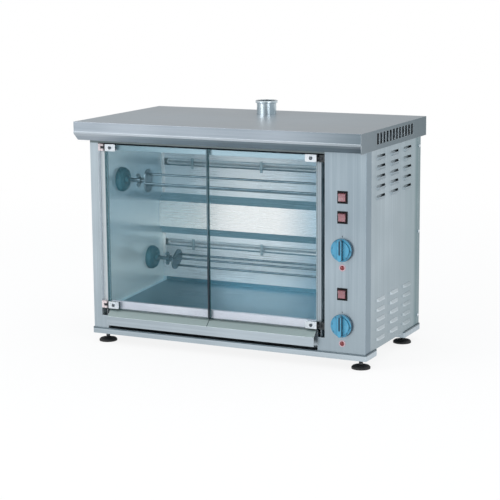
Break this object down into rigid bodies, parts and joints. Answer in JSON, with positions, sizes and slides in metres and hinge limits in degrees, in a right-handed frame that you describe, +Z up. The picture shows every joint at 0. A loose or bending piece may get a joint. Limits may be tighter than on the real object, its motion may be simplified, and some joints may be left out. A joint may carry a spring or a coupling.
{
  "type": "chicken rotisserie",
  "caption": "Countertop rotisserie cabinet in stainless steel with glass doors, horizontal spits, a drip tray drawer, a control column, an overhanging hood and a flue.",
  "frame": {"origin": "on the counter, below the middle of the hood", "axes": "+Z up, -Y towards the user in front of the glass doors, +X towards the control column"},
  "size_m": [0.804, 0.462, 0.634],
  "materials": {
    "stainless": "brushed stainless sheet, satin",
    "liner": "bright stainless sheet",
    "glass": "clear toughened glass, faint green edge",
    "bright_metal": "polished",
    "cast_alloy": "cast, bead blasted",
    "hinge_black": "black, satin",
    "heater_steel": "dark heat-tinted tube",
    "black_plastic": "moulded, fine matt",
    "rocker_red": "translucent red, gloss",
    "lamp_red": "translucent red lens",
    "knob_blue": "satin blue moulding",
    "seal_rubber": "matt black extrusion",
    "foot_rubber": "matt black moulding on a zinc-plated stud"
  },
  "bodies": {
    "case": {"front_base_rail": "stainless", "rear_base_rail": "stainless", "bottom_panel": "stainless", "front_frame": "stainless", "control_panel": "stainless", "left_side_panel": "stainless", "right_side_panel": "stainless", "rear_panel": "stainless", "body_top_panel": "stainless", "hood": "stainless", "flue_pipe": "stainless", "chamber_left_wall": "liner", "chamber_right_wall": "liner", "chamber_back_wall": "liner", "chamber_ceiling": "liner", "chamber_floor": "liner", "chamber_front_lip": "liner", "tray_runners": "stainless", "left_hinge_blocks": "hinge_black", "right_hinge_blocks": "hinge_black", "hinge_pins": "bright_metal", "upper_bearing_cup": "cast_alloy", "lower_bearing_cup": "cast_alloy", "upper_gear_motor": "cast_alloy", "lower_gear_motor": "cast_alloy", "motor_brackets": "stainless", "upper_heating_element": "heater_steel", "lower_heating_element": "heater_steel", "element_clips": "bright_metal", "switch_housing_1": "black_plastic", "switch_housing_2": "black_plastic", "switch_housing_3": "black_plastic", "thermostat_1": "black_plastic", "thermostat_2": "black_plastic", "pilot_lamp_1": "lamp_red", "pilot_lamp_2": "lamp_red", "terminal_block": "black_plastic", "cable_gland": "black_plastic", "casing_screws": "bright_metal"},
    "left_door": {"left_door_glass": "glass", "left_door_clips": "bright_metal", "door_seal": "seal_rubber"},
    "right_door": {"right_door_glass": "glass", "right_door_clips": "bright_metal"},
    "drip_tray": {"drip_tray": "stainless"},
    "upper_spit": {"upper_spit": "bright_metal", "upper_wing_nut": "bright_metal", "upper_drive_socket": "bright_metal"},
    "lower_spit": {"lower_spit": "bright_metal", "lower_wing_nut": "bright_metal", "lower_drive_socket": "bright_metal"},
    "upper_knob": {"thermostat_knob_1": "knob_blue"},
    "lower_knob": {"thermostat_knob_2": "knob_blue"},
    "rocker_1": {"switch_rocker_1": "rocker_red"},
    "rocker_2": {"switch_rocker_2": "rocker_red"},
    "rocker_3": {"switch_rocker_3": "rocker_red"},
    "foot_front_left": {"levelling_foot_front_left": "foot_rubber"},
    "foot_front_right": {"levelling_foot_front_right": "foot_rubber"},
    "foot_rear_left": {"levelling_foot_rear_left": "foot_rubber"},
    "foot_rear_right": {"levelling_foot_rear_right": "foot_rubber"}
  },
  "joints": [
    {"name": "left_door_hinge", "type": "hinge", "parent": "case", "child": "left_door", "pos_m": [-0.3475, -0.178, 0.31625], "axis": [0, 0, -1], "range_deg": [0, 110]},
    {"name": "right_door_hinge", "type": "hinge", "parent": "case", "child": "right_door", "pos_m": [0.2745, -0.178, 0.31625], "axis": [0, 0, 1], "range_deg": [0, 110]},
    {"name": "drip_tray_slide", "type": "slide", "parent": "case", "child": "drip_tray", "axis": [0, -1, 0], "range_m": [0, 0.25]},
    {"name": "upper_spit_spin", "type": "hinge", "parent": "case", "child": "upper_spit", "pos_m": [0, -0.083, 0.43], "axis": [1, 0, 0], "continuous": true},
    {"name": "lower_spit_spin", "type": "hinge", "parent": "case", "child": "lower_spit", "pos_m": [0, 0.07, 0.191], "axis": [1, 0, 0], "continuous": true},
    {"name": "upper_knob_turn", "type": "hinge", "parent": "case", "child": "upper_knob", "pos_m": [0.3335, -0.19, 0.303], "axis": [0, 1, 0], "range_deg": [0, 270]},
    {"name": "lower_knob_turn", "type": "hinge", "parent": "case", "child": "lower_knob", "pos_m": [0.3335, -0.19, 0.112], "axis": [0, 1, 0], "range_deg": [0, 270]},
    {"name": "rocker_1_tilt", "type": "hinge", "parent": "case", "child": "rocker_1", "pos_m": [0.3335, -0.177, 0.434], "axis": [-1, 0, 0], "range_deg": [0, 14]},
    {"name": "rocker_2_tilt", "type": "hinge", "parent": "case", "child": "rocker_2", "pos_m": [0.3335, -0.177, 0.384], "axis": [-1, 0, 0], "range_deg": [0, 14]},
    {"name": "rocker_3_tilt", "type": "hinge", "parent": "case", "child": "rocker_3", "pos_m": [0.3335, -0.177, 0.1915], "axis": [-1, 0, 0], "range_deg": [0, 14]},
    {"name": "foot_front_left_screw", "type": "slide", "parent": "case", "child": "foot_front_left", "axis": [0, 0, -1], "range_m": [0, 0.012]},
    {"name": "foot_front_right_screw", "type": "slide", "parent": "case", "child": "foot_front_right", "axis": [0, 0, -1], "range_m": [0, 0.012]},
    {"name": "foot_rear_left_screw", "type": "slide", "parent": "case", "child": "foot_rear_left", "axis": [0, 0, -1], "range_m": [0, 0.012]},
    {"name": "foot_rear_right_screw", "type": "slide", "parent": "case", "child": "foot_rear_right", "axis": [0, 0, -1], "range_m": [0, 0.012]}
  ]
}
